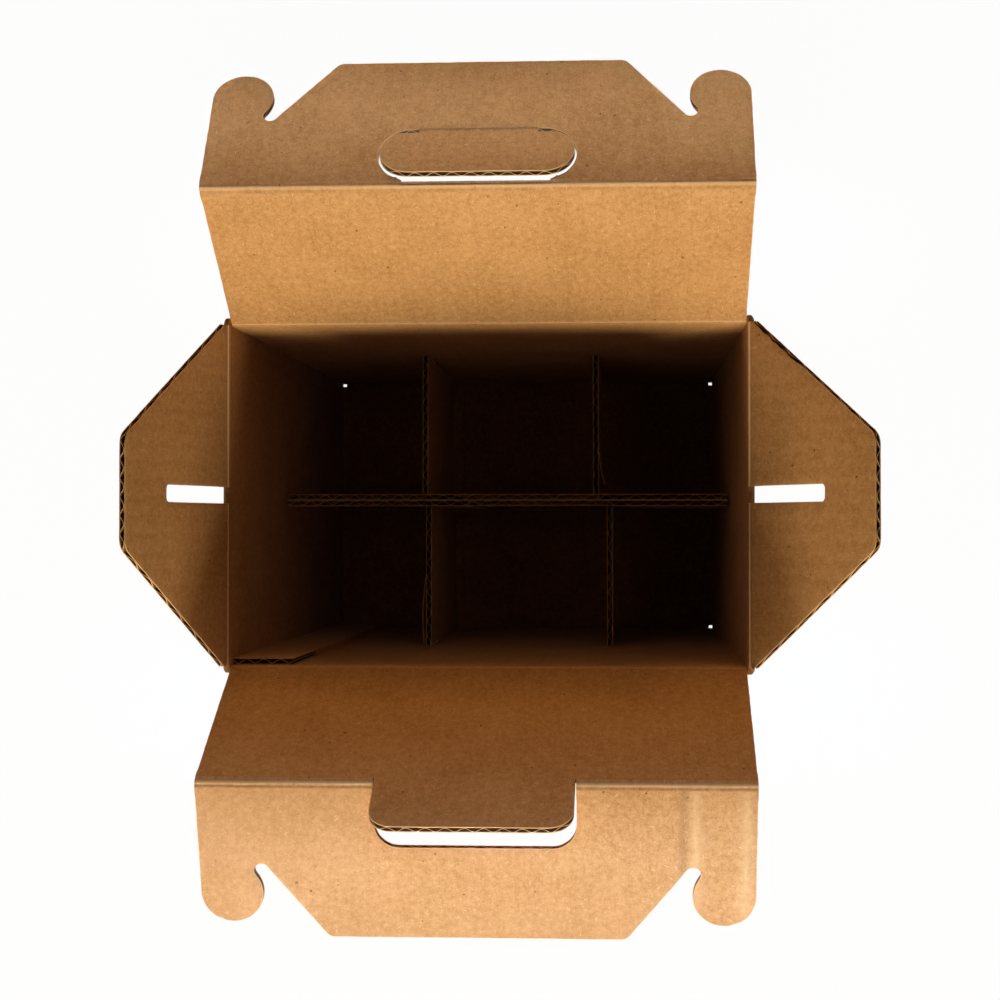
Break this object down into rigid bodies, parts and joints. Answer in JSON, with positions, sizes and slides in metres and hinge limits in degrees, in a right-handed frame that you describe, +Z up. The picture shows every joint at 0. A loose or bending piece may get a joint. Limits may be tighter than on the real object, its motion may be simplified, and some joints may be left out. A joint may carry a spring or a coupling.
{
  "type": "bottle carrier",
  "caption": "Open corrugated cardboard carrier for upright bottles, with a divider of folded cells, roof panels, hooked handle panels with hand holes and slotted end flaps.",
  "frame": {"origin": "middle of the tube's footprint, at the underside of the base", "axes": "+Z up, +X to the right end along the longer walls, +Y to the back"},
  "size_m": [0.335, 0.4038, 0.4253],
  "materials": {
    "kraft_board": "matt brown kraft liner on single wall corrugated board"
  },
  "bodies": {
    "carton": {"carton_body": "kraft_board", "divider_back_sheet": "kraft_board", "divider_front_sheet": "kraft_board"},
    "back_roof": {"back_roof_panel": "kraft_board"},
    "back_handle": {"back_handle_panel": "kraft_board"},
    "back_tab": {"back_hand_hole_tab": "kraft_board"},
    "front_roof": {"front_roof_panel": "kraft_board"},
    "front_handle": {"front_handle_panel": "kraft_board"},
    "left_flap": {"left_end_flap": "kraft_board"},
    "right_flap": {"right_end_flap": "kraft_board"}
  },
  "joints": [
    {"name": "back_roof_fold", "type": "hinge", "parent": "carton", "child": "back_roof", "pos_m": [0, 0.0845, 0.33], "axis": [1, 0, 0], "range_deg": [-70.3, 128.31]},
    {"name": "back_handle_fold", "type": "hinge", "parent": "back_roof", "child": "back_handle", "pos_m": [0, 0.13723, 0.39351], "axis": [-1, 0, 0], "range_deg": [-79.7, 8.91]},
    {"name": "back_tab_fold", "type": "hinge", "parent": "back_handle", "child": "back_tab", "pos_m": [0, 0.16511, 0.37781], "axis": [1, 0, 0], "range_deg": [-12, 78]},
    {"name": "front_roof_fold", "type": "hinge", "parent": "carton", "child": "front_roof", "pos_m": [0, -0.0845, 0.33], "axis": [-1, 0, 0], "range_deg": [-77.3, 124.09]},
    {"name": "front_handle_fold", "type": "hinge", "parent": "front_roof", "child": "front_handle", "pos_m": [0, -0.1291, 0.39947], "axis": [1, 0, 0], "range_deg": [-71.9, 19.49]},
    {"name": "left_flap_fold", "type": "hinge", "parent": "carton", "child": "left_flap", "pos_m": [-0.127, 0, 0.334], "axis": [0, 1, 0], "range_deg": [-90.3, 58.17]},
    {"name": "right_flap_fold", "type": "hinge", "parent": "carton", "child": "right_flap", "pos_m": [0.127, 0, 0.334], "axis": [0, -1, 0], "range_deg": [-72, 76.47]}
  ]
}
